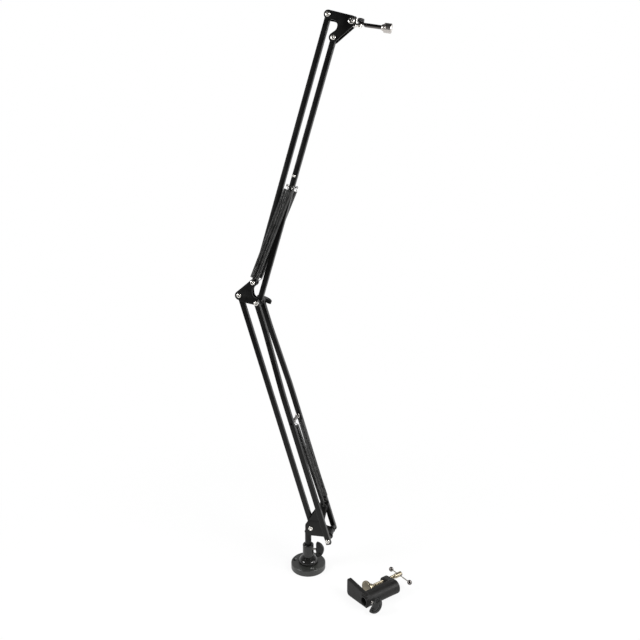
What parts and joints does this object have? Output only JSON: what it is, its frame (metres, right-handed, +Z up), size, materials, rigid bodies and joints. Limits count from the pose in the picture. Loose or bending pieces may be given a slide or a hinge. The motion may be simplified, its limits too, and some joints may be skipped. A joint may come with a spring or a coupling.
{
  "type": "microphone stand",
  "caption": "Desk-arm microphone stand: a round screw-down flange carries two sprung parallel-bar arms and a tilting rod with a threaded end; a screw clamp lies beside it.",
  "frame": {"origin": "centre of the flange's underside, on the surface it is screwed to", "axes": "+Z up along the post, +X in the arms' plane towards the threaded end, -Y towards the side with the bolt heads"},
  "size_m": [0.3283, 0.1592, 0.9816],
  "materials": {
    "black_paint": "satin black paint on steel",
    "socket_gloss": "gloss black paint",
    "cast_black": "satin black paint on a casting",
    "bolt_steel": "nickel plated",
    "spring_steel": "dark oiled wire",
    "zinc_plate": "yellowish zinc plate",
    "dark_chrome": "dark chrome plate",
    "bright_chrome": "bright chrome plate",
    "black_plastic": "moulded, semi-matte"
  },
  "bodies": {
    "base": {"flange": "black_paint", "socket": "socket_gloss", "clamp_body": "cast_black"},
    "post_lock": {"post_lock_screw": "bolt_steel", "post_lock_paddle": "black_plastic"},
    "bracket": {"post": "black_paint", "lower_bracket": "black_paint", "rear_foot_bolt": "bolt_steel", "rear_foot_sleeve_near": "black_paint", "rear_foot_sleeve_far": "black_paint"},
    "lower_pair": {"lower_front_bar_near": "black_paint", "lower_front_bar_far": "black_paint", "lower_spring_pin": "dark_chrome", "lower_spring_near": "spring_steel", "lower_spring_far": "spring_steel", "front_foot_bolt": "bolt_steel", "front_foot_sleeve_mid": "black_paint", "front_foot_sleeve_near": "black_paint", "front_foot_sleeve_far": "black_paint"},
    "lower_rear": {"lower_rear_bar": "black_paint"},
    "elbow": {"elbow_plate_near": "black_paint", "elbow_plate_far": "black_paint", "elbow_rear_bolt": "bolt_steel", "elbow_top_bolt": "bolt_steel", "elbow_front_bolt": "bolt_steel", "elbow_sleeve_near": "black_paint", "elbow_sleeve_far": "black_paint"},
    "elbow_lock": {"elbow_paddle": "black_plastic"},
    "upper_front": {"upper_front_bar": "black_paint", "spring_hanger_near": "black_paint", "spring_hanger_far": "black_paint", "hanger_bolt": "bolt_steel", "upper_spring_near_a": "spring_steel", "upper_spring_near_b": "spring_steel", "upper_spring_far_a": "spring_steel", "upper_spring_far_b": "spring_steel"},
    "upper_rear": {"upper_rear_bar": "black_paint"},
    "head": {"head_plate_near": "black_paint", "head_plate_far": "black_paint", "head_rear_bolt": "bolt_steel", "head_front_bolt": "bolt_steel", "head_rod_bolt": "bolt_steel"},
    "swivel": {"swivel_block": "bolt_steel", "swivel_stud": "bolt_steel"},
    "swivel_lock": {"swivel_knob": "black_plastic"},
    "mic_arm": {"mic_rod": "dark_chrome", "rod_collar": "bright_chrome", "thread_adapter": "bright_chrome"},
    "clamp_foot": {"clamp_pad": "zinc_plate"},
    "clamp_spindle": {"clamp_screw": "zinc_plate"},
    "clamp_handle": {"clamp_t_bar": "bolt_steel", "clamp_ball_low": "dark_chrome", "clamp_ball_high": "dark_chrome"},
    "clamp_lock": {"clamp_lock_screw": "bolt_steel", "clamp_lock_paddle": "black_plastic"}
  },
  "joints": [
    {"name": "post_lock_turn", "type": "hinge", "parent": "base", "child": "post_lock", "pos_m": [0, 0, 0.039], "axis": [1, 0, 0], "continuous": true},
    {"name": "post_turn", "type": "hinge", "parent": "base", "child": "bracket", "pos_m": [0, 0, 0.0727], "axis": [0, 0, 1], "continuous": true},
    {"name": "lower_swing", "type": "hinge", "parent": "bracket", "child": "lower_pair", "pos_m": [0.04325, 0, 0.0764], "axis": [0, -1, 0], "range_deg": [-44, 37], "deforming": ["lower_spring_near", "lower_spring_far"]},
    {"name": "lower_rear_swing", "type": "hinge", "parent": "bracket", "child": "lower_rear", "pos_m": [0.0075, 0, 0.0874], "axis": [0, -1, 0], "range_deg": [-44, 37]},
    {"name": "elbow_level", "type": "hinge", "parent": "lower_pair", "child": "elbow", "pos_m": [-0.08722, 0, 0.50854], "axis": [0, -1, 0], "range_deg": [-37, 44]},
    {"name": "elbow_lock_turn", "type": "hinge", "parent": "elbow", "child": "elbow_lock", "pos_m": [-0.08722, 0.03, 0.50854], "axis": [0, 1, 0], "continuous": true},
    {"name": "upper_swing", "type": "hinge", "parent": "elbow", "child": "upper_front", "pos_m": [-0.08722, 0, 0.50854], "axis": [0, -1, 0], "range_deg": [-88, 15], "deforming": ["upper_spring_near_a", "upper_spring_near_b", "upper_spring_far_a", "upper_spring_far_b"]},
    {"name": "upper_rear_swing", "type": "hinge", "parent": "elbow", "child": "upper_rear", "pos_m": [-0.09589, 0, 0.54358], "axis": [0, -1, 0], "range_deg": [-88, 15]},
    {"name": "head_level", "type": "hinge", "parent": "upper_front", "child": "head", "pos_m": [0.04551, 0, 0.93998], "axis": [0, -1, 0], "range_deg": [-15, 88]},
    {"name": "mic_tilt", "type": "hinge", "parent": "head", "child": "swivel", "pos_m": [0.07468, 0, 0.96302], "axis": [0, -1, 0], "range_deg": [-70, 60]},
    {"name": "mic_pan", "type": "hinge", "parent": "swivel", "child": "mic_arm", "pos_m": [0.08825, 0, 0.96051], "axis": [0.1822, 0, 0.9833], "range_deg": [-90, 90]},
    {"name": "swivel_lock_turn", "type": "hinge", "parent": "swivel", "child": "swivel_lock", "pos_m": [0.08825, 0, 0.96051], "axis": [0.1822, 0, 0.9833], "continuous": true},
    {"name": "clamp_travel", "type": "slide", "parent": "base", "child": "clamp_foot", "axis": [-0.682, -0.7314, 0], "range_m": [-0.0226, 0.0141]},
    {"name": "clamp_turn", "type": "hinge", "parent": "clamp_foot", "child": "clamp_spindle", "pos_m": [0.12618, -0.06141, 0.0155], "axis": [-0.682, -0.7314, 0], "range_deg": [-5400, 3360]},
    {"name": "handle_slide", "type": "slide", "parent": "clamp_spindle", "child": "clamp_handle", "axis": [-0.7314, 0.682, 0], "range_m": [-0.011, 0.02]},
    {"name": "clamp_lock_turn", "type": "hinge", "parent": "base", "child": "clamp_lock", "pos_m": [0.13466, -0.10145, 0.0155], "axis": [0.7314, -0.682, 0], "continuous": true}
  ],
  "couplings": [
    {"joint": "lower_rear_swing", "follows": "lower_swing", "ratio": 1},
    {"joint": "elbow_level", "follows": "lower_swing", "ratio": -1},
    {"joint": "upper_rear_swing", "follows": "upper_swing", "ratio": 1},
    {"joint": "head_level", "follows": "upper_swing", "ratio": -1},
    {"joint": "clamp_travel", "follows": "clamp_turn", "m_per_rad": 0.00023873}
  ]
}
